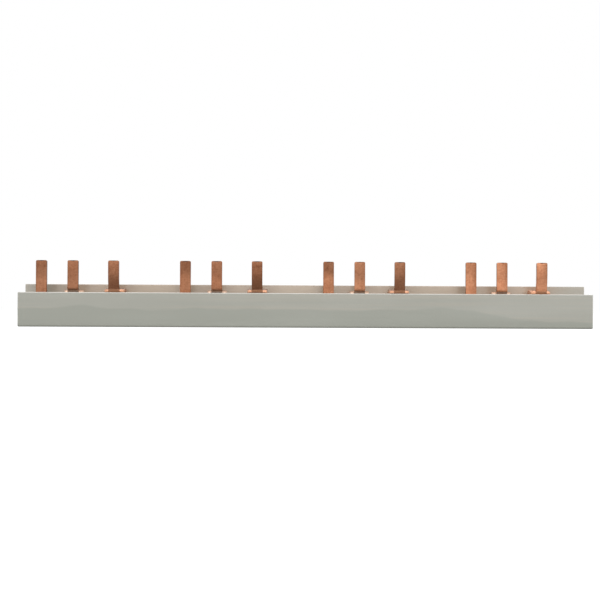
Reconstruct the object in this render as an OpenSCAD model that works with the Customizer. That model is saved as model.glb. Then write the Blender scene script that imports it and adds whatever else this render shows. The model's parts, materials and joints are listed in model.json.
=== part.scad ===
// Three-phase pin comb busbar: an open-topped insulating profile with three stamped copper combs.
// X runs along the bar, the pins point up +Z, and the front wall faces -Y. Millimetres.
// The origin is at the middle of the profile's underside.

/* [Modules] */
// Number of device modules that the bar spans
module_count = 16; // [6:1:56]
// Width of one device module
module_pitch = 17.5; // [15:0.5:27]
// Modules from one pin group to the next
group_module_count = 4; // [4:1:6]
// Left end of the profile to the middle of the first pin
first_pin_inset = 10.7; // [9:0.1:16]
// Middle of a phase 1 pin to the middle of its phase 2 pin
phase_2_step = 15.3; // [12:0.1:20]
// Middle of a phase 2 pin to the middle of its phase 3 pin
phase_3_step = 19.7; // [12:0.1:22]

/* [Profile] */
// Depth of the profile, front to back
profile_depth = 15; // [13:0.1:18]
// Height of the front wall
front_height = 16.8; // [15:0.1:30]
// How far the back wall stands above the front wall
back_rise = 4.2; // [1:0.1:8]
// Thickness of the front and back walls
wall = 1.5; // [1:0.1:2]
// Thickness of the floor
floor_thickness = 1.6; // [1:0.1:3]
// Thickness of the two partitions
partition = 1; // [0.6:0.1:1.4]
// How far the partitions stop below the front wall
partition_drop = 1.8; // [1.4:0.1:3.5]
// Radius on the profile's lower long edges
lower_edge_radius = 0.9; // [0.2:0.1:1.5]
// Radius on the tops of the walls and partitions
top_edge_radius = 0.4; // [0.1:0.05:0.45]
// Radius on the corners of the sawn ends
end_corner_radius = 0.5; // [0.1:0.1:1.5]
// Fillet between the floor and the walls
floor_fillet = 0.4; // [0.1:0.1:0.6]

/* [Holding beads] */
// Thickness of a bead that runs along a chamber wall
bead_thickness = 0.9; // [0.5:0.1:1.5]
// Floor to the middle of the lower beads
lower_bead_height = 2.4; // [1.5:0.1:4]
// Middle of the upper beads to the top of the strip
upper_bead_drop = 1.8; // [1:0.1:3]
// Gap between a bead and the strip
bead_clearance = 0.08; // [0.02:0.01:0.3]

/* [Copper strips] */
// Thickness of the copper sheet
copper = 1.5; // [1:0.1:1.8]
// Height of the strip below the tabs
strip_height = 11.2; // [8:0.1:12]
// Strip end to the end of the profile
strip_recess = 3; // [1:0.1:5]
// Radius on the corners of the strip's ends
strip_corner_radius = 0.8; // [0.2:0.1:2]

/* [Tabs and pins] */
// Width of a pin
pin_width = 5.2; // [3:0.1:6]
// Height of the pin tips above the front wall
pin_reach = 15.6; // [13:0.1:22]
// Radius on the corners of a pin's tip
tip_radius = 0.7; // [0.2:0.1:1.4]
// Chamfer on the front and back edges of a pin's tip
tip_chamfer = 0.35; // [0.1:0.05:0.4]
// How far the tab under a pin stands out on each side of it
shoulder_width = 2.2; // [1.8:0.1:3]
// Radius on the outer corners of the shoulders
shoulder_radius = 0.9; // [0.2:0.1:1.1]
// Fillet where a pin meets its shoulders
pin_fillet = 0.6; // [0.2:0.1:0.7]
// Fillet where the tab meets the strip
tab_fillet = 1; // [0.2:0.1:1.2]
// How far the shoulders of a straight tab stop below the front wall
straight_shoulder_drop = 0.5; // [0.2:0.1:2]
// Middle of a cranked pin to the front of its shoulders
cranked_shoulder_setback = 1.5; // [1:0.1:1.8]

/* [Cranks] */
// Inside radius of a crank's bends
bend_radius = 1.2; // [0.8:0.1:1.4]
// Middle of the upper bends above the front wall
bend_height = 2.4; // [2:0.1:4]
// Angle at which the phase 2 bridge rises towards the back
phase_2_slope_angle = -20; // [-30:1:-5]
// Angle at which the phase 3 bridge rises towards the back
phase_3_slope_angle = 15; // [-10:1:20]
// Angle at which the foot of a phase 3 pin leans before it curves upright
phase_3_lean_angle = 14; // [2:1:16]
// Radius of that curve
sweep_radius = 32; // [20:1:40]

/* [Hidden] */
$fn = 48;

// A cut runs past a face by this much
overcut = 1;
// Flats that make up a bend
bend_flat_count = 12;

bar_length = module_count * module_pitch;
group_pitch = group_module_count * module_pitch;
phase_offsets = [0, phase_2_step, phase_2_step + phase_3_step];
group_count = floor((bar_length - 2 * first_pin_inset - phase_offsets[2]) / group_pitch) + 1;

chamber_width = (profile_depth - 2 * wall - 2 * partition) / 3;
chamber_pitch = chamber_width + partition;
inside_depth = profile_depth - 2 * wall;
partition_top = front_height - partition_drop;
back_height = front_height + back_rise;

strip_length = bar_length - 2 * strip_recess;
strip_top = floor_thickness + strip_height;
strip_middle = floor_thickness + strip_height / 2;
tab_width = pin_width + 2 * shoulder_width;
pin_top = front_height + pin_reach;
straight_shoulder = front_height - straight_shoulder_drop;
upper_bend_z = front_height + bend_height;
bead_heights = [floor_thickness + lower_bead_height, strip_top - upper_bead_drop];

bend_middle = bend_radius + copper / 2;
turn_angles = [0, 90 + phase_2_slope_angle, 90 + phase_3_slope_angle];
lean_angles = [0, 0, phase_3_lean_angle];

// Middle of the chamber, and of the strip in it, of one phase
function chamber_y(phase) = (phase - 1) * chamber_pitch;

// Middle of one pin along the bar
function pin_x(phase, group) =
    first_pin_inset + phase_offsets[phase] + group * group_pitch - bar_length / 2;

// Unit vectors along a heading and to the left of it
function ahead(heading) = [cos(heading), sin(heading)];
function left_of(heading) = [-sin(heading), cos(heading)];

// Point that a bend reaches; a positive turn goes to the left
function bent(start, heading, radius, turn) =
    start + sign(turn) * radius * (left_of(heading) - left_of(heading + turn));

// Stations along a bend, each a point and the heading there
function bend(start, heading, radius, turn) = [
    for (step = [1 : bend_flat_count])
        let (part = turn * step / bend_flat_count)
            [bent(start, heading, radius, part), heading + part]
];

// How far the bends of one phase bring its pin forward, without the bridge between them
function bends_reach(phase) =
    bend_middle * (1 + cos(lean_angles[phase]) - 2 * cos(turn_angles[phase]))
    + sweep_radius * (1 - cos(lean_angles[phase]));

// Length of the straight bridge between the two bends of one phase
function bridge_length(phase) =
    (phase * chamber_pitch - bends_reach(phase)) / sin(turn_angles[phase]);

// Height at which the lower bend of one phase starts, so that its upper bend is at its height
function lower_bend_z(phase) =
    upper_bend_z - 2 * bend_middle * sin(turn_angles[phase])
    - bridge_length(phase) * cos(turn_angles[phase]);

// Stations of a cranked pin, from the strip to where the pin stands upright in line with phase 1
function crank_stations(phase) =
    let (
        foot = [0, lower_bend_z(phase)],
        lower = bend(foot, 90, bend_middle, turn_angles[phase]),
        heading = 90 + turn_angles[phase],
        bridge_end = lower[bend_flat_count - 1][0] + bridge_length(phase) * ahead(heading),
        upper = bend(bridge_end, heading, bend_middle, lean_angles[phase] - turn_angles[phase]),
        sweep = lean_angles[phase] > 0
            ? bend(upper[bend_flat_count - 1][0], 90 + lean_angles[phase], sweep_radius, -lean_angles[phase])
            : []
    )
    concat([[foot, 90]], lower, [[bridge_end, heading]], upper, sweep);

// Stations of one phase's sheet from the middle of the strip to just under the tip
function sheet_stations(phase) = concat(
    [[[0, strip_middle], 90]],
    phase > 0 ? crank_stations(phase) : [],
    [[[-phase * chamber_pitch, pin_top - tip_chamfer], 90]]
);

// The sliver between a square corner at the origin and its rounding, for a corner that opens to +X +Y
module corner_sliver(radius) {
    difference() {
        translate([-overcut, -overcut])
            square(radius + overcut);
        translate([radius, radius])
            circle(radius);
    }
}

// Rectangle with rounded corners from y = bottom to y = top, centred on x = 0
module rounded_plate(width, bottom, top, radius) {
    difference() {
        translate([-width / 2, bottom])
            square([width, top - bottom]);
        for (side = [0, 1]) mirror([side, 0]) {
            translate([-width / 2, bottom])
                corner_sliver(radius);
            translate([-width / 2, top]) mirror([0, 1])
                corner_sliver(radius);
        }
    }
}

// The two slivers that round the top of a wall, with the middle of that top at the origin
module top_rounding(thickness) {
    for (side = [0, 1]) mirror([side, 0])
        translate([-thickness / 2, 0]) mirror([0, 1])
            corner_sliver(top_edge_radius);
}

// Turns a Y-Z outline, drawn in X-Y, into a bar of the given length centred along X
module bar_along_x(length) {
    translate([-length / 2, 0, 0]) rotate([90, 0, 90])
        linear_extrude(length)
            children();
}

// Turns an X-Z outline, drawn in X-Y, into a plate of the given thickness centred on y = 0
module plate_across_y(thickness) {
    translate([0, thickness / 2, 0]) rotate([90, 0, 0])
        linear_extrude(thickness)
            children();
}

// Hollow of one chamber: beads hold the strip, and fillets join the walls to the floor
module chamber_outline() {
    bead_nose = copper / 2 + bead_clearance + bead_thickness / 2;
    difference() {
        translate([-chamber_width / 2, floor_thickness])
            square([chamber_width, back_height]);
        for (side = [0, 1]) mirror([side, 0]) {
            for (height = bead_heights) {
                translate([bead_nose, height])
                    circle(d = bead_thickness);
                translate([bead_nose, height - bead_thickness / 2])
                    square([chamber_width, bead_thickness]);
            }
            translate([-chamber_width / 2, floor_thickness])
                corner_sliver(floor_fillet);
        }
    }
}

// Cross-section of the profile
module profile_outline() {
    difference() {
        translate([-profile_depth / 2, 0])
            square([profile_depth, back_height]);
        translate([-profile_depth / 2 - overcut, front_height])
            square([wall + 2 * overcut, back_rise + overcut]);
        translate([-inside_depth / 2, partition_top])
            square([inside_depth, back_height]);
        for (phase = [0 : 2])
            translate([chamber_y(phase), 0])
                chamber_outline();
        for (side = [-1, 1])
            translate([side * chamber_pitch / 2, partition_top])
                top_rounding(partition);
        translate([(wall - profile_depth) / 2, front_height])
            top_rounding(wall);
        translate([(profile_depth - wall) / 2, back_height])
            top_rounding(wall);
        for (side = [0, 1]) mirror([side, 0])
            translate([-profile_depth / 2, 0])
                corner_sliver(lower_edge_radius);
    }
}

// Plate that a length of wall is cut to, so that the corners of its sawn ends are rounded
module wall_ends(near_y, depth, height) {
    translate([0, near_y + depth / 2, 0])
        plate_across_y(depth)
            rounded_plate(bar_length, 0, height, end_corner_radius);
}

module insulating_profile() {
    color("darkgray")
        intersection() {
            bar_along_x(bar_length)
                profile_outline();
            union() {
                wall_ends(-profile_depth / 2 - overcut, wall + overcut, front_height);
                wall_ends(wall - profile_depth / 2, profile_depth, back_height);
            }
        }
}

// Outline of a wide tab that narrows to its pin at shoulder
module tab_outline(bottom, shoulder, top) {
    rounded_plate(tab_width, bottom, shoulder, shoulder_radius);
    rounded_plate(pin_width, bottom, top, tip_radius);
    for (side = [0, 1]) mirror([side, 0])
        translate([pin_width / 2, shoulder])
            corner_sliver(pin_fillet);
}

// Side view of one phase's sheet, from the middle of the strip to the chamfered tip
module sheet_side(phase) {
    stations = sheet_stations(phase);
    front = [for (station = stations) station[0] + copper / 2 * left_of(station[1])];
    back = [for (station = stations) station[0] - copper / 2 * left_of(station[1])];
    tip_x = -phase * chamber_pitch;
    tip_half = copper / 2 - tip_chamfer;
    polygon(concat(
        front,
        [[tip_x - tip_half, pin_top], [tip_x + tip_half, pin_top]],
        [for (i = [len(back) - 1 : -1 : 0]) back[i]]
    ));
}

// Front view of a straight tab, or of a cranked pin above its shoulders
module tab_front(phase) {
    if (phase > 0)
        rounded_plate(pin_width, strip_middle, pin_top, tip_radius);
    else
        tab_outline(strip_middle, straight_shoulder, pin_top);
}

// Top view of a cranked tab: it narrows to its pin just behind the upper bend
module tab_plan(phase) {
    shoulder = phase * chamber_pitch - cranked_shoulder_setback;
    mirror([0, 1])
        tab_outline(-profile_depth, shoulder, profile_depth);
}

// One tab with its pin, standing on the strip of its phase
module tab(phase) {
    intersection() {
        bar_along_x(tab_width + 2 * overcut)
            sheet_side(phase);
        union() {
            plate_across_y(4 * profile_depth)
                tab_front(phase);
            if (phase > 0)
                translate([0, 0, strip_middle])
                    linear_extrude(upper_bend_z - strip_middle)
                        tab_plan(phase);
        }
    }
    plate_across_y(copper)
        for (side = [0, 1]) mirror([side, 0])
            translate([tab_width / 2, strip_top])
                corner_sliver(tab_fillet);
}

// One phase: a strip in its chamber with a tab for each group, every pin in line with phase 1
module phase_comb(phase) {
    translate([0, chamber_y(phase), 0]) {
        plate_across_y(copper)
            rounded_plate(strip_length, floor_thickness, strip_top, strip_corner_radius);
        for (group = [0 : group_count - 1])
            translate([pin_x(phase, group), 0, 0])
                tab(phase);
    }
}

module phase_comb_l1() {
    color("chocolate") phase_comb(0);
}

module phase_comb_l2() {
    color("peru") phase_comb(1);
}

module phase_comb_l3() {
    color("sienna") phase_comb(2);
}

insulating_profile();
phase_comb_l1();
phase_comb_l2();
phase_comb_l3();
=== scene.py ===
import json
import math

import bpy
from mathutils import Matrix, Vector

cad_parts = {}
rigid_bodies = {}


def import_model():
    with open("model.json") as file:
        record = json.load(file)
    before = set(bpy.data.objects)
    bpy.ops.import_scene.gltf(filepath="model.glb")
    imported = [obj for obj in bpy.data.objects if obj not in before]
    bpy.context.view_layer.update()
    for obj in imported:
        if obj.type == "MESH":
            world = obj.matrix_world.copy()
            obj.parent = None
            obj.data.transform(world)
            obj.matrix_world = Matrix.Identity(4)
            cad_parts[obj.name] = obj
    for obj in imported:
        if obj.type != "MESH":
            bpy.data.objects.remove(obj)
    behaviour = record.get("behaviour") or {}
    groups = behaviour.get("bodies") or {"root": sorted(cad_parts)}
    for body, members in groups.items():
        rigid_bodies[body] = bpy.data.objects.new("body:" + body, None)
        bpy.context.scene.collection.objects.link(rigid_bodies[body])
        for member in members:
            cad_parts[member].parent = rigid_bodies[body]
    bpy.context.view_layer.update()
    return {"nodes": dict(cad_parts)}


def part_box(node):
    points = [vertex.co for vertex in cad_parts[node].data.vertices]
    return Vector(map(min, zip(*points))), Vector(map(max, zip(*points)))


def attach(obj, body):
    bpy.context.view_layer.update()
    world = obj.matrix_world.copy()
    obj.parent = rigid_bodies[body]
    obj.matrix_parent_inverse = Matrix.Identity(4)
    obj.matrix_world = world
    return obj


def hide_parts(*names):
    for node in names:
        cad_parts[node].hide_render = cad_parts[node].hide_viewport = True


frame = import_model()
print("stage 1: frame loaded")

mm = 0.001
hair = 1e-9            # a length too small to matter, in metres
sameRow = 1e-8         # rows closer than this are one row
mostly = 0.9           # an edge runs along an axis if its direction holds this much of it


def deselectAll():
    for other in bpy.context.view_layer.objects:
        other.select_set(False)


def makeActive(piece):
    deselectAll()
    piece.select_set(True)
    bpy.context.view_layer.objects.active = piece


def near(a, b, slack=0.02 * mm):
    return abs(a - b) < slack


def pickEdges(piece, test):
    # selects the edges whose middle and direction pass the test, and stays in edit mode
    bpy.ops.object.mode_set(mode="OBJECT")
    mesh = piece.data
    for group in (mesh.vertices, mesh.edges, mesh.polygons):
        for item in group:
            item.select = False
    for edge in mesh.edges:
        a, b = (mesh.vertices[i].co for i in edge.vertices)
        edge.select = bool(test((a + b) / 2, (b - a).normalized()))
    bpy.ops.object.mode_set(mode="EDIT")
    bpy.ops.mesh.select_mode(type="EDGE")


def applyModifiers(piece):
    bpy.ops.object.mode_set(mode="OBJECT")
    makeActive(piece)
    for modifier in list(piece.modifiers):
        bpy.ops.object.modifier_apply(modifier=modifier.name)


# The copper combs: a strip in its chamber and four tabs that narrow to their pins.
comb = {
    "sheet": 1.5 * mm,             # thickness of the copper
    "firstPin": -129.3 * mm,       # middle of the first pin along the bar
    "groupPitch": 70.0 * mm,
    "groups": 4,
    "offsets": (0.0, 15.3 * mm, 35.0 * mm),
    "chamberPitch": 13.0 / 3 * mm,
    "stripHalf": 137.0 * mm,
    "stripBottom": 1.6 * mm,
    "stripTop": 12.8 * mm,
    "stripCorner": 0.8 * mm,
    "pinHalf": 2.6 * mm,
    "tabHalf": 4.8 * mm,
    "pinTop": 32.4 * mm,
    "tipCorner": 0.7 * mm,
    "tipChamfer": 0.35 * mm,
    "straightShoulder": 16.3 * mm,
    "shoulderCorner": 0.9 * mm,
    "pinFillet": 0.6 * mm,
    "tabFillet": 1.0 * mm,
    "bendMiddle": 1.95 * mm,       # radius of a bend at the middle of the sheet
    "upperBend": 19.2 * mm,        # height of the middle of the upper bends
    "turns": (0.0, 70.0, 105.0),   # degrees that the lower bend turns through
    "leans": (0.0, 0.0, 14.0),     # degrees that the foot of the pin leans back
    "sweep": 32.0 * mm,            # radius that brings a leaning foot upright
    "shoulderSetback": 1.5 * mm,
    "arcSteps": 5,                 # rows in a quarter round
    "bendStep": 9.0,               # degrees of bend between two rows
    "weldGap": 0.002 * mm,         # corners closer than this are joined
    "edgeSoftness": 0.13 * mm,
    "edgeSegments": 2,
    "softenPast": 40.0,            # degrees between faces past which an edge is softened
    "smoothBelow": 35.0,           # degrees between faces below which the shading runs on
}


def sheetPath(phase):
    # the middle of the sheet above the strip: (length, turn in radians) of each stretch,
    # and how far along it the shoulders stop
    if phase == 0:
        return [(comb["pinTop"] - comb["stripTop"], 0.0)], comb["straightShoulder"] - comb["stripTop"]
    turn = math.radians(comb["turns"][phase])
    lean = math.radians(comb["leans"][phase])
    r = comb["bendMiddle"]
    reach = r * (1 + math.cos(lean) - 2 * math.cos(turn)) + comb["sweep"] * (1 - math.cos(lean))
    bridge = (phase * comb["chamberPitch"] - reach) / math.sin(turn)
    foot = comb["upperBend"] - 2 * r * math.sin(turn) - bridge * math.cos(turn)
    path = [(foot - comb["stripTop"], 0.0), (r * turn, turn),
            (bridge, 0.0), (r * (turn - lean), lean - turn)]
    if lean:
        path.append((comb["sweep"] * lean, -lean))
    endZ = comb["upperBend"] - r * math.sin(lean) + comb["sweep"] * math.sin(lean)
    path.append((comb["pinTop"] - endZ, 0.0))
    # the shoulders stop on the bridge, or part of the way round the upper bend
    start = path[0][0] + path[1][0]
    bridgeEnd = r * (1 - math.cos(turn)) + bridge * math.sin(turn)
    target = phase * comb["chamberPitch"] - comb["shoulderSetback"]
    if bridgeEnd >= target:
        shoulder = start + bridge - (bridgeEnd - target) / math.sin(turn)
    else:
        left = math.acos(math.cos(turn) + (target - bridgeEnd) / r)
        shoulder = start + bridge + r * (turn - left)
    return path, shoulder


def quarterRound(start, radius, wide, outward):
    # rows of a rounding: the half width falls from wide as the sheet goes on
    rows = []
    for step in range(comb["arcSteps"] + 1):
        angle = math.pi / 2 * step / comb["arcSteps"]
        if outward:
            rows.append((start + radius * math.sin(angle), wide - radius * (1 - math.cos(angle))))
        else:
            rows.append((start + radius * (1 - math.cos(angle)), wide - radius * math.sin(angle)))
    return rows


def halfAt(outline, spot):
    # half width of the outline at a spot between its rows
    before = [row for row in outline if row[0] <= spot + hair]
    after = [row for row in outline if row[0] > spot + hair]
    if not after:
        return before[-1][1]
    a, b = before[-1], after[0]
    return a[1] + (b[1] - a[1]) * (spot - a[0]) / (b[0] - a[0])


def tabRows(path, shoulder):
    # (length along the sheet, half width) of each row of a tab
    total = sum(length for length, turn in path)
    tabHalf, pinHalf = comb["tabHalf"], comb["pinHalf"]
    outline = (quarterRound(0.0, comb["tabFillet"], tabHalf + comb["tabFillet"], False)
               + quarterRound(shoulder - comb["shoulderCorner"], comb["shoulderCorner"], tabHalf, True)
               + quarterRound(shoulder, comb["pinFillet"], pinHalf + comb["pinFillet"], False)
               + quarterRound(total - comb["tipCorner"], comb["tipCorner"], pinHalf, True))
    # every bend gets rows of its own, which come first where two fall together
    bendRows = []
    reached = 0.0
    for length, turn in path:
        if turn:
            count = max(2, round(abs(math.degrees(turn)) / comb["bendStep"]))
            for step in range(count + 1):
                spot = reached + length * step / count
                bendRows.append((spot, halfAt(sorted(outline), spot)))
        reached += length
    return sorted(bendRows + outline, key=lambda row: row[0])


def makeTab(phase, name):
    # one tab as a flat sheet at x = 0, drawn out row by row from the top of the strip
    path, shoulder = sheetPath(phase)
    rows = tabRows(path, shoulder)
    spans = []
    reached = 0.0
    for length, turn in path:
        spans.append((reached, reached + length, turn))
        reached += length

    # the front edge of a plane is kept as the first row
    planeHalf = 0.5
    deselectAll()
    bpy.ops.mesh.primitive_plane_add(size=2 * planeHalf, location=(0, 0, 0))
    piece = bpy.context.active_object
    piece.name = piece.data.name = name
    bpy.ops.object.mode_set(mode="EDIT")
    bpy.ops.mesh.select_all(action="SELECT")
    bpy.ops.mesh.delete(type="ONLY_FACE")
    pickEdges(piece, lambda middle, way: near(middle.y, -planeHalf))
    bpy.ops.mesh.select_all(action="INVERT")
    bpy.ops.mesh.delete(type="EDGE")
    bpy.ops.mesh.select_all(action="SELECT")
    at, width = rows[0]
    y, z = (phase - 1) * comb["chamberPitch"], comb["stripTop"]
    bpy.ops.transform.resize(value=(width / planeHalf, 1, 1), center_override=(0, 0, 0))
    bpy.ops.transform.translate(value=(0, y + planeHalf, z))

    heading = 0.0                     # radians that the sheet has turned towards the front
    neck = comb["pinHalf"] + comb["pinFillet"]
    narrowed = False
    for spot, half in rows[1:]:
        step = spot - at
        if not narrowed and spot >= shoulder - hair and half < neck + hair:
            # only the pin goes on past the shoulders
            for side in (-neck, neck):
                bpy.ops.mesh.select_all(action="SELECT")
                bpy.ops.mesh.bisect(plane_co=(side, 0, 0), plane_no=(1, 0, 0))
            pickEdges(piece, lambda middle, way: near(middle.y, y) and near(middle.z, z)
                      and abs(way.x) > mostly and abs(middle.x) < comb["pinHalf"])
            width = neck
            narrowed = True
        if step < sameRow:
            continue
        span = next(s for s in spans if s[0] - hair <= at and spot <= s[1] + hair)
        turn = span[2] * step / (span[1] - span[0])
        if turn:
            radius = step / abs(turn)
            side = 1 if turn > 0 else -1
            middleY = y - side * radius * math.cos(heading)
            middleZ = z - side * radius * math.sin(heading)
            # spin turns the other way from the right-hand rule
            bpy.ops.mesh.spin(steps=1, angle=-turn, center=(0, middleY, middleZ), axis=(1, 0, 0))
            y = middleY + side * radius * math.cos(heading + turn)
            z = middleZ + side * radius * math.sin(heading + turn)
            heading += turn
        else:
            move = (0, -math.sin(heading) * step, math.cos(heading) * step)
            bpy.ops.mesh.extrude_edges_move(TRANSFORM_OT_translate={"value": move})
            y += move[1]
            z += move[2]
        if abs(half - width) > hair:
            bpy.ops.transform.resize(value=(half / width, 1, 1), center_override=(0, y, z))
            width = half
        at = spot
    bpy.ops.object.mode_set(mode="OBJECT")
    return piece


def makeComb(phase, name):
    tab = makeTab(phase, name + "Tab")
    start = comb["firstPin"] + comb["offsets"][phase]
    pins = [start + comb["groupPitch"] * group for group in range(comb["groups"])]
    tabs = []
    for middle in pins:
        copy = bpy.data.objects.new(f"{name}Tab{len(tabs)}", tab.data.copy())
        bpy.context.collection.objects.link(copy)
        copy.location.x = middle
        tabs.append(copy)
    bpy.data.objects.remove(tab)

    # the strip, cut where the sides of the tabs and pins meet it
    y = (phase - 1) * comb["chamberPitch"]
    bottom, top = comb["stripBottom"], comb["stripTop"]
    deselectAll()
    bpy.ops.mesh.primitive_plane_add(size=1, location=(0, y, (top + bottom) / 2),
                                     rotation=(math.pi / 2, 0, 0))
    piece = bpy.context.active_object
    piece.name = piece.data.name = name
    piece.scale = (2 * comb["stripHalf"], top - bottom, 1)
    bpy.ops.object.transform_apply(location=True, rotation=True, scale=True)
    bpy.ops.object.mode_set(mode="EDIT")
    root = comb["tabHalf"] + comb["tabFillet"]
    neck = comb["pinHalf"] + comb["pinFillet"]
    for middle in pins:
        for side in (-root, -neck, neck, root):
            bpy.ops.mesh.select_all(action="SELECT")
            bpy.ops.mesh.bisect(plane_co=(middle + side, 0, 0), plane_no=(1, 0, 0))
    bpy.ops.object.mode_set(mode="OBJECT")
    for copy in tabs:
        copy.select_set(True)
    piece.select_set(True)
    bpy.context.view_layer.objects.active = piece
    bpy.ops.object.join()
    bpy.ops.object.mode_set(mode="EDIT")
    bpy.ops.mesh.select_all(action="SELECT")
    bpy.ops.mesh.remove_doubles(threshold=comb["weldGap"])
    bpy.ops.mesh.normals_make_consistent(inside=False)
    bpy.ops.object.mode_set(mode="OBJECT")
    thick = piece.modifiers.new("thickness", "SOLIDIFY")
    thick.thickness = comb["sheet"]
    thick.offset = 0
    thick.use_even_offset = True
    applyModifiers(piece)

    # corners of the strip's ends, then the chamfered tips
    pickEdges(piece, lambda middle, way: abs(way.y) > mostly and near(abs(middle.x), comb["stripHalf"]))
    bpy.ops.mesh.bevel(offset=comb["stripCorner"], segments=comb["arcSteps"], affect="EDGES")
    pickEdges(piece, lambda middle, way: abs(way.x) > mostly and near(middle.z, comb["pinTop"]))
    bpy.ops.mesh.bevel(offset=comb["tipChamfer"], segments=comb["edgeSegments"], affect="EDGES")
    bpy.ops.object.mode_set(mode="OBJECT")
    soft = piece.modifiers.new("stamped edges", "BEVEL")
    soft.width = comb["edgeSoftness"]
    soft.segments = comb["edgeSegments"]
    soft.limit_method = "ANGLE"
    soft.angle_limit = math.radians(comb["softenPast"])
    soft.use_clamp_overlap = True
    applyModifiers(piece)
    bpy.ops.object.shade_smooth_by_angle(angle=math.radians(comb["smoothBelow"]))
    return piece


combs = {}
for phase, (name, node) in enumerate((("frontComb", "phase_comb_l1"), ("middleComb", "phase_comb_l2"),
                                      ("rearComb", "phase_comb_l3"))):
    piece = makeComb(phase, name)
    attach(piece, "root")
    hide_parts(node)
    combs[phase] = piece
    low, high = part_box(node)
    corners = [v.co for v in piece.data.vertices]
    print("comb", phase + 1, "faces", len(piece.data.polygons), "past its solid, in mm:",
          [round((min(c[i] for c in corners) - low[i]) / mm, 3) for i in range(3)],
          [round((max(c[i] for c in corners) - high[i]) / mm, 3) for i in range(3)])
print("stage 2: copper combs made")

noiseMiddle = 0.5      # the middle of a noise's values
brightestTone = 2.0    # a ramp stops at 1, so it holds tones as a share of this


class Value:
    # one output of a node, so that maths on it can be written as an expression
    def __init__(self, finish, socket):
        self.finish = finish
        self.socket = socket

    def maths(self, operation, a, b=0.0):
        return self.finish.node("ShaderNodeMath", {"operation": operation}, {0: a, 1: b})

    def __add__(self, other):
        return self.maths("ADD", self, other)

    __radd__ = __add__

    def __sub__(self, other):
        return self.maths("SUBTRACT", self, other)

    def __rsub__(self, other):
        return self.maths("SUBTRACT", other, self)

    def __mul__(self, other):
        return self.maths("MULTIPLY", self, other)

    __rmul__ = __mul__

    def __truediv__(self, other):
        return self.maths("DIVIDE", self, other)

    def __mod__(self, other):
        return self.maths("FLOORED_MODULO", self, other)

    def __abs__(self):
        return self.maths("ABSOLUTE", self)


class Finish:
    # the nodes of a material, or of the world, in front of its shader
    def __init__(self, owner, shaderName="Principled BSDF"):
        owner.use_nodes = True
        self.owner = owner
        self.tree = owner.node_tree
        self.shader = self.tree.nodes[shaderName]

    def node(self, kind, settings, inputs, output=0):
        # settings come first, then the sockets; a list of outputs gives a list of values
        made = self.tree.nodes.new(kind)
        for key, value in settings.items():
            if key == "stops":
                self.setStops(made.color_ramp.elements, value)
            else:
                setattr(made, key, value)
        for key, value in inputs.items():
            self.put(made.inputs[key], value)
        if isinstance(output, list):
            return [Value(self, made.outputs[key]) for key in output]
        return Value(self, made.outputs[output])

    def setStops(self, elements, stops):
        while len(elements) < len(stops):
            elements.new(stops[-1][0])
        for element, (place, colour) in zip(elements, stops):
            element.position = place
        for element, (place, colour) in zip(elements, stops):
            element.color = colour

    def put(self, socket, value):
        if isinstance(value, Value):
            self.tree.links.new(value.socket, socket)
        else:
            socket.default_value = value

    def set(self, **values):
        # sockets of the shader, with _ for the spaces in their names
        for key, value in values.items():
            self.put(self.shader.inputs[key.replace("_", " ")], value)

    def place(self):
        # object coordinates in metres, whole and split
        spot = self.node("ShaderNodeTexCoord", {}, {}, "Object")
        return spot, self.node("ShaderNodeSeparateXYZ", {}, {0: spot}, ["X", "Y", "Z"])

    def noise(self, spot, pattern, shift=0.0):
        # pattern: stretch along each axis, scale, detail, roughness; shift moves it along the bar
        stretch, scale, detail, rough = pattern
        moved = self.node("ShaderNodeMapping", {},
                          {"Vector": spot, "Scale": stretch, "Location": (shift, 0, 0)})
        return self.node("ShaderNodeTexNoise", {},
                         {"Vector": moved, "Scale": scale, "Detail": detail, "Roughness": rough})

    def smooth(self, value, low, high, strength=1.0):
        # 0 below low, the strength above high
        risen = self.node("ShaderNodeMapRange", {"interpolation_type": "SMOOTHSTEP"},
                          {"Value": value, "From Min": low, "From Max": high})
        return risen if strength == 1.0 else risen * strength

    def mix(self, factor, a, b):
        # colours a and b; a Mix node's colour sockets are 6 and 7, and its colour output is 2
        return self.node("ShaderNodeMix", {"data_type": "RGBA"}, {0: factor, 6: a, 7: b}, 2)

    def bump(self, height, relief, below=None):
        # relief: strength and depth
        inputs = {"Height": height, "Strength": relief[0], "Distance": relief[1]}
        if below:
            inputs["Normal"] = below
        return self.node("ShaderNodeBump", {}, inputs, "Normal")


def grey(level):
    return (level, level, level, 1.0)


def linear(red, green, blue):
    # a colour as it looks on screen, 0 to 255, turned to the shader's scale
    parts = [level / 255 for level in (red, green, blue)]
    return (*(((c + 0.055) / 1.055) ** 2.4 if c > 0.04045 else c / 12.92 for c in parts), 1.0)


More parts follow.
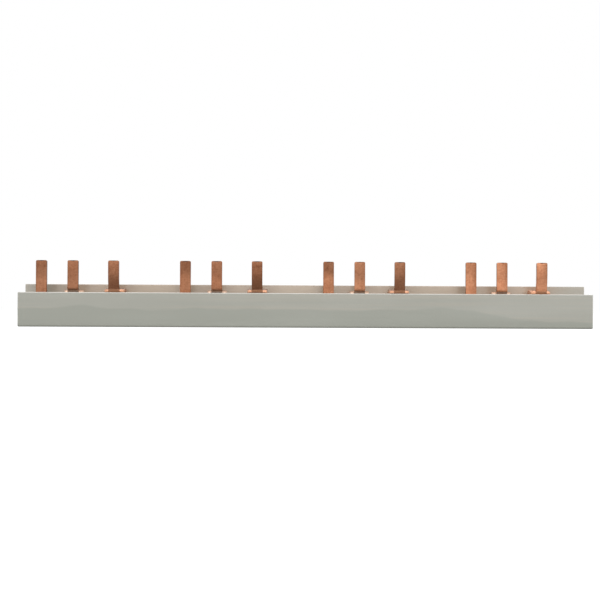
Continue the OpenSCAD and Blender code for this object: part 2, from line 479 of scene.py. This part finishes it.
copper = {
    "colour": linear(182, 124, 92),
    "deep": linear(120, 68, 42),
    "edge": linear(170, 104, 66),
    "pale": linear(214, 160, 126),
    "paintedBendLight": (None, linear(216, 184, 160), linear(222, 164, 128)),
    # painted light on the bends: heights between which a bend turns from the paler, less metallic painted
    # light to satin, and between which the painted light starts
    "bendBand": (None, (17.35 * mm, 18.25 * mm), (17.9 * mm, 18.8 * mm)),
    "paintedBendStart": (13.0 * mm, 14.5 * mm),
    "paintedBendMetalLoss": 0.65,              # share of the metal's shine that a bend loses where light is painted on it
    # noises: stretch along each axis, scale, detail, roughness
    "grain": ((4200, 4200, 160), 1.0, 4.0, 0.6),
    "mottle": ((1, 1, 1), 420.0, 4.0, 0.6),
    "cloud": ((1, 1, 0.45), 130.0, 2.0, 0.5),
    "speckle": ((1100, 1100, 1900), 1.0, 2.0, 0.5),
    # how far the patterns of one comb lie from those of the next
    "mottleShift": 0.7,
    "cloudShift": 0.3,
    # from, to and strength of each change of colour
    "worn": (0.42, 0.66, 0.22),
    "dull": (0.5, 0.75, 0.34),
    "darkSpeckle": (0.5, 0.72, 0.3),
    "paleSpeckle": (0.28, 0.5, 0.25),
    "darkGrain": (0.3, 0.7, 0.22),
    "edgeBand": (0.45 * mm, 0.05 * mm),   # how far in from a pin's sides its edge colour starts and is full
    "edgeStrength": 0.5,
    "roughness": 0.34,
    "mottleRoughness": 0.18,
    "grainRoughness": 0.1,
    "grainRelief": (0.12, 0.06 * mm),     # strength and depth
    "mottleRelief": (0.10, 0.3 * mm),
    # painted light and shade: brightness of the four pins of each comb, from left to right, at their tips and
    # at their feet
    "tipPaintedLight": ((0.332, 0.289, 0.323, 0.548), (0.403, 0.388, 0.466, 0.664), (0.409, 0.354, 0.413, 0.759)),
    "footPaintedLight": ((0.433, 0.451, 0.534, 0.672), (0.519, 0.587, 0.756, 0.987), (0.416, 0.35, 0.453, 1.388)),
    # heights between which the painted light and shade changes from feet to tips, and how far they wander
    "toneBand": ((23.0 * mm, 28.0 * mm), (20.0 * mm, 27.0 * mm), (18.5 * mm, 27.5 * mm)),
    "toneWander": 6.0 * mm,
}


def makeCopper(phase):
    finish = Finish(bpy.data.materials.new(f"satinCopper{phase + 1}"))
    spot, (x, y, z) = finish.place()
    pitch = comb["groupPitch"]
    fromFirst = x - (comb["firstPin"] + comb["offsets"][phase]) + pitch / 2
    across = fromFirst % pitch - pitch / 2
    along = fromFirst / (pitch * comb["groups"])
    grain = finish.noise(spot, copper["grain"])
    mottle = finish.noise(spot, copper["mottle"], phase * copper["mottleShift"])
    cloud = finish.noise(spot, copper["cloud"], phase * copper["cloudShift"])
    speckle = finish.noise(spot, copper["speckle"])

    def paintedLightOf(tones):
        # painted light and shade along the bar, with a stop at each pin
        stops = [((2 * i + 1) / (2 * len(tones)), grey(tone / brightestTone)) for i, tone in enumerate(tones)]
        ramp = finish.node("ShaderNodeValToRGB", {"stops": stops}, {"Fac": along})
        return finish.node("ShaderNodeSeparateColor", {}, {0: ramp}) * brightestTone

    # painted light and shade: each pin goes from its foot brightness to its tip brightness
    rise = finish.smooth(z + (cloud - noiseMiddle) * copper["toneWander"], *copper["toneBand"][phase])
    level = paintedLightOf(copper["footPaintedLight"][phase]) * (1 - rise) + paintedLightOf(copper["tipPaintedLight"][phase]) * rise
    edgeStart, edgeFull = (comb["pinHalf"] - inset for inset in copper["edgeBand"])
    edge = finish.smooth(abs(across), edgeStart, edgeFull, copper["edgeStrength"])
    colour = finish.mix(edge, copper["colour"], copper["edge"])
    colour = finish.mix(finish.smooth(cloud, *copper["worn"]), colour, copper["pale"])
    colour = finish.mix(finish.smooth(mottle, *copper["dull"]), colour, copper["deep"])
    colour = finish.mix(finish.smooth(speckle, *copper["darkSpeckle"]), colour, copper["deep"])
    low, high, strength = copper["paleSpeckle"]
    colour = finish.mix((1 - finish.smooth(speckle, low, high)) * strength, colour, copper["pale"])
    colour = finish.mix(finish.smooth(grain, *copper["darkGrain"]), colour, copper["deep"])
    shaded = finish.node("ShaderNodeVectorMath", {"operation": "SCALE"}, {0: colour, "Scale": level})
    metal = 1.0
    if phase > 0:
        # painted light: paler and less metallic where the sheet bends over the wall
        bend = (1 - finish.smooth(z, *copper["bendBand"][phase])) * finish.smooth(z, *copper["paintedBendStart"])
        shaded = finish.mix(bend, shaded, copper["paintedBendLight"][phase])
        metal = 1 - bend * copper["paintedBendMetalLoss"]
    rough = (copper["roughness"] + (mottle - noiseMiddle) * copper["mottleRoughness"]
             + (grain - noiseMiddle) * copper["grainRoughness"])
    lines = finish.bump(grain, copper["grainRelief"])
    dents = finish.bump(mottle, copper["mottleRelief"], lines)
    finish.set(Base_Color=shaded, Metallic=metal, Roughness=rough, Normal=dents)
    return finish.owner


plastic = {
    "colour": linear(165, 165, 155),
    "warm": linear(200, 178, 156),
    "pale": linear(176, 175, 166),
    "shade": linear(158, 160, 150),
    "sawnPaleAndHighlight": linear(236, 234, 228),
    # noises: stretch along each axis, scale, detail, roughness
    "cloud": ((1, 1, 2.5), 24.0, 2.0, 0.5),
    "fine": ((1, 1, 1), 2600.0, 2.0, 0.5),
    "drawn": ((9, 500, 900), 1.0, 3.0, 0.55),
    "wander": ((1, 0, 0), 22.0, 2.0, 0.5),
    "swell": ((14, 30, 60), 1.0, 1.5, 0.4),
    # from, to and strength of each change of colour
    "cloudTint": (0.35, 0.7, 0.3),
    "drawnTint": (0.45, 0.7, 0.12),
    # painted reflection: the front face is darker below a line that wanders, and that drops towards the right
    # end
    "reflectionLine": 9.0 * mm,
    "reflectionWander": 9.0 * mm,
    "reflectionDrop": (55 * mm, 140 * mm, 6.0 * mm),
    "reflectionSoftness": 0.7 * mm,
    "reflectionStrength": 0.9,
    "frontFace": (-7.3 * mm, -6.9 * mm),     # depths between which the front face's painted reflection ends
    # painted highlight along the walls' tops, and paler sawn ends: heights of the walls' tops, the depth of
    # the front one, and the sawn ends
    "frontTop": (16.45 * mm, 16.7 * mm),
    "frontTopDepth": (-6.2 * mm, -6.0 * mm),
    "backTop": (20.75 * mm, 20.95 * mm, 0.3),
    "sawnEnd": (139.6 * mm, 139.9 * mm, 0.35),
    # painted reflection of the copper on the inside: depths, heights, how it fades towards the ends, and its
    # strength
    "insideDepth": (-5.9 * mm, 5.6 * mm),
    "insideHeight": (14.0 * mm, 17.0 * mm),
    "insideFade": (112 * mm, 136 * mm, 0.7),
    "copperReflectionStrength": 0.75,
    "roughness": 0.2,
    "fineRoughness": 0.06,
    "drawnRoughness": 0.1,
    "swellRelief": (0.4, 1.2 * mm),          # strength and depth
    "drawnRelief": (0.06, 0.2 * mm),
    "fineRelief": (0.02, 0.1 * mm),
    "refraction": 1.52,
}


def makePlastic():
    finish = Finish(bpy.data.materials.new("greyProfilePlastic"))
    spot, (x, y, z) = finish.place()
    cloud = finish.noise(spot, plastic["cloud"])
    fine = finish.noise(spot, plastic["fine"])
    drawn = finish.noise(spot, plastic["drawn"])
    wander = finish.noise(spot, plastic["wander"])
    swell = finish.noise(spot, plastic["swell"])
    colour = finish.mix(finish.smooth(cloud, *plastic["cloudTint"]), plastic["colour"], plastic["pale"])
    colour = finish.mix(finish.smooth(drawn, *plastic["drawnTint"]), colour, plastic["warm"])
    # painted reflection: darker below a wandering line on the front face
    line = (plastic["reflectionLine"] + (wander - noiseMiddle) * plastic["reflectionWander"]
            - finish.smooth(x, *plastic["reflectionDrop"]))
    lower = 1 - finish.smooth(z - line, -plastic["reflectionSoftness"], plastic["reflectionSoftness"])
    front = 1 - finish.smooth(y, *plastic["frontFace"])
    colour = finish.mix(lower * front * plastic["reflectionStrength"], colour, plastic["shade"])
    # painted highlight along the tops of the walls, and paler sawn ends
    topEdge = finish.smooth(z, *plastic["frontTop"]) * (1 - finish.smooth(y, *plastic["frontTopDepth"]))
    edges = topEdge + finish.smooth(z, *plastic["backTop"]) + finish.smooth(abs(x), *plastic["sawnEnd"])
    sawnPaleAndHighlight = finish.node("ShaderNodeClamp", {}, {0: edges})
    colour = finish.mix(sawnPaleAndHighlight, colour, plastic["sawnPaleAndHighlight"])
    # painted reflection of the copper: the inside is warmer beside it
    inside = finish.smooth(y, *plastic["insideDepth"]) * finish.smooth(z, *plastic["insideHeight"])
    inside = inside * (1 - finish.smooth(abs(x), *plastic["insideFade"])) * plastic["copperReflectionStrength"]
    colour = finish.mix(inside, colour, plastic["warm"])
    rough = (plastic["roughness"] + (fine - noiseMiddle) * plastic["fineRoughness"]
             + (drawn - noiseMiddle) * plastic["drawnRoughness"])
    waves = finish.bump(swell, plastic["swellRelief"])
    lines = finish.bump(drawn, plastic["drawnRelief"], waves)
    skin = finish.bump(fine, plastic["fineRelief"], lines)
    finish.set(Base_Color=colour, Roughness=rough, Normal=skin, IOR=plastic["refraction"])
    return finish.owner


def dress(piece, material):
    piece.data.materials.clear()
    piece.data.materials.append(material)


for phase, piece in combs.items():
    dress(piece, makeCopper(phase))
dress(frame["nodes"]["insulating_profile"], makePlastic())
print("stage 3: finishes made")

studio = {
    "floorSize": 6.0,
    "floorGap": 0.02 * mm,         # how far the floor lies below the part
    "floorColour": 0.4,
    "floorSeen": 0.82,             # glow of the floor where it is seen itself
    "floorMirrored": 0.5,          # glow of the floor where it is seen in or through a surface
    "skyForSurfaces": 0.5,         # brightness of the sky as a source of light
}


def rayKinds(finish):
    return finish.node("ShaderNodeLightPath", {}, {},
                       ["Is Camera Ray", "Is Glossy Ray", "Is Transmission Ray"])


def makeFloor():
    deselectAll()
    bpy.ops.mesh.primitive_plane_add(size=1, location=(0, 0, 0))
    floor = bpy.context.active_object
    floor.name = floor.data.name = "studioFloor"
    bpy.ops.object.mode_set(mode="EDIT")
    bpy.ops.mesh.select_all(action="SELECT")
    bpy.ops.transform.resize(value=(studio["floorSize"], studio["floorSize"], 1), center_override=(0, 0, 0))
    bpy.ops.transform.translate(value=(0, 0, -studio["floorGap"]))
    bpy.ops.object.mode_set(mode="OBJECT")
    finish = Finish(bpy.data.materials.new("studioFloor"))
    seen, glossy, through = rayKinds(finish)
    glow = seen * studio["floorSeen"] + glossy * studio["floorMirrored"] + through * studio["floorMirrored"]
    finish.set(Base_Color=grey(studio["floorColour"]), Roughness=1.0, Specular_IOR_Level=0.0,
               Emission_Color=glow, Emission_Strength=1.0)
    dress(floor, finish.owner)


def makeSky():
    # white where it is seen or mirrored, dimmer as a source of light
    finish = Finish(bpy.data.worlds.new("studioWorld"), "Background")
    seen, glossy, through = rayKinds(finish)
    unseen = (1 - seen) * (1 - glossy) * (1 - through)
    finish.set(Color=1 - unseen * (1 - studio["skyForSurfaces"]), Strength=1.0)
    bpy.context.scene.world = finish.owner


makeFloor()
makeSky()

lamps = {
    "frontSoftbox": {"place": (-0.25, -1.7, 0.62), "aim": (0, 0, 0.02), "size": (2.8, 1.1), "watts": 23.0},
    "topSoftbox": {"place": (0.1, 0.5, 1.3), "aim": (0, 0, 0), "size": (1.4, 1.0), "watts": 7.0},
    "rightSoftbox": {"place": (1.5, -0.5, 0.5), "aim": (0.05, 0, 0.02), "size": (0.8, 0.8), "watts": 3.0},
}
for name, lamp in lamps.items():
    data = bpy.data.lights.new(name, "AREA")
    data.shape = "RECTANGLE"
    data.size, data.size_y = lamp["size"]
    data.energy = lamp["watts"]
    softbox = bpy.data.objects.new(name, data)
    softbox.location = lamp["place"]
    away = Vector(lamp["aim"]) - Vector(lamp["place"])
    softbox.rotation_euler = away.to_track_quat("-Z", "Y").to_euler()
    bpy.context.scene.collection.objects.link(softbox)

view = {
    "place": (-10.93 * mm, -457.7 * mm, 9.2 * mm),
    "yaw": 0.971,                  # degrees towards +X
    "pitch": 0.55,                 # degrees up
    "roll": 0.268,                 # degrees that the right side drops
    "lens": 55.55,
    "sensor": 36.0,
    "nearest": 10 * mm,
}
data = bpy.data.cameras.new("studioCamera")
data.lens, data.sensor_width, data.sensor_fit = view["lens"], view["sensor"], "HORIZONTAL"
data.clip_start = view["nearest"]
camera = bpy.data.objects.new("studioCamera", data)
camera.matrix_world = (Matrix.Translation(view["place"])
                       @ Matrix.Rotation(math.radians(-view["yaw"]), 4, "Z")
                       @ Matrix.Rotation(math.radians(90 + view["pitch"]), 4, "X")
                       @ Matrix.Rotation(math.radians(view["roll"]), 4, "Z"))
bpy.context.scene.collection.objects.link(camera)
bpy.context.scene.camera = camera
bpy.context.scene.view_settings.view_transform = "Standard"
print("stage 4: studio ready")
